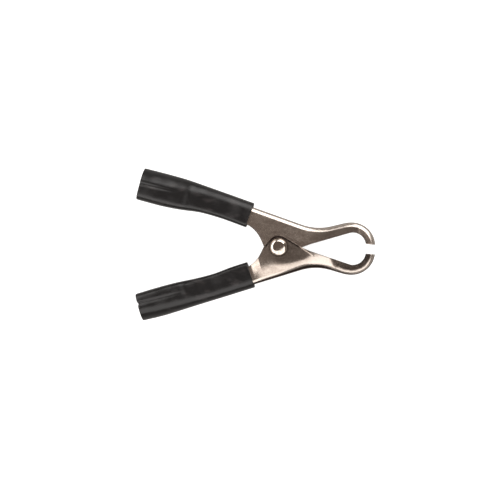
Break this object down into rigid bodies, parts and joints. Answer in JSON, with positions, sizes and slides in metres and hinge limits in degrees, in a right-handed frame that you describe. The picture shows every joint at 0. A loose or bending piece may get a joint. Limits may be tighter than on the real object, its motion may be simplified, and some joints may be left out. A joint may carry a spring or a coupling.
{
  "type": "alligator clip",
  "caption": "Two stamped steel channel levers on a sprung rivet pivot with soft black sleeves; squeezing the handles opens the rounded jaws.",
  "frame": {"origin": "centre of the rivet's flat tail, on the plane that the clip lies on, under the pivot", "axes": "+X along the clip towards the jaws, +Y across it towards the upper lever, +Z along the pivot towards the rivet's head"},
  "size_m": [0.103, 0.0657, 0.0164],
  "materials": {
    "nickel_plated_steel": "nickel plate over rolled steel, semi-bright with faint mottling",
    "rivet_steel": "nickel plate, bright",
    "spring_wire": "drawn music wire",
    "black_vinyl": "soft PVC, satin, faint scuffs"
  },
  "bodies": {
    "lower": {"lower_lever": "nickel_plated_steel", "lower_sleeve": "black_vinyl", "pivot_rivet": "rivet_steel", "torsion_spring": "spring_wire"},
    "upper": {"upper_lever": "nickel_plated_steel", "upper_sleeve": "black_vinyl"}
  },
  "joints": [
    {"name": "jaw_pivot", "type": "hinge", "parent": "lower", "child": "upper", "pos_m": [0, 0, 0.0075], "axis": [0, 0, 1], "range_deg": [0, 35], "stiffness_Nm_per_rad": 0.55, "springref_deg": -25.78, "deforming": ["torsion_spring"]}
  ]
}
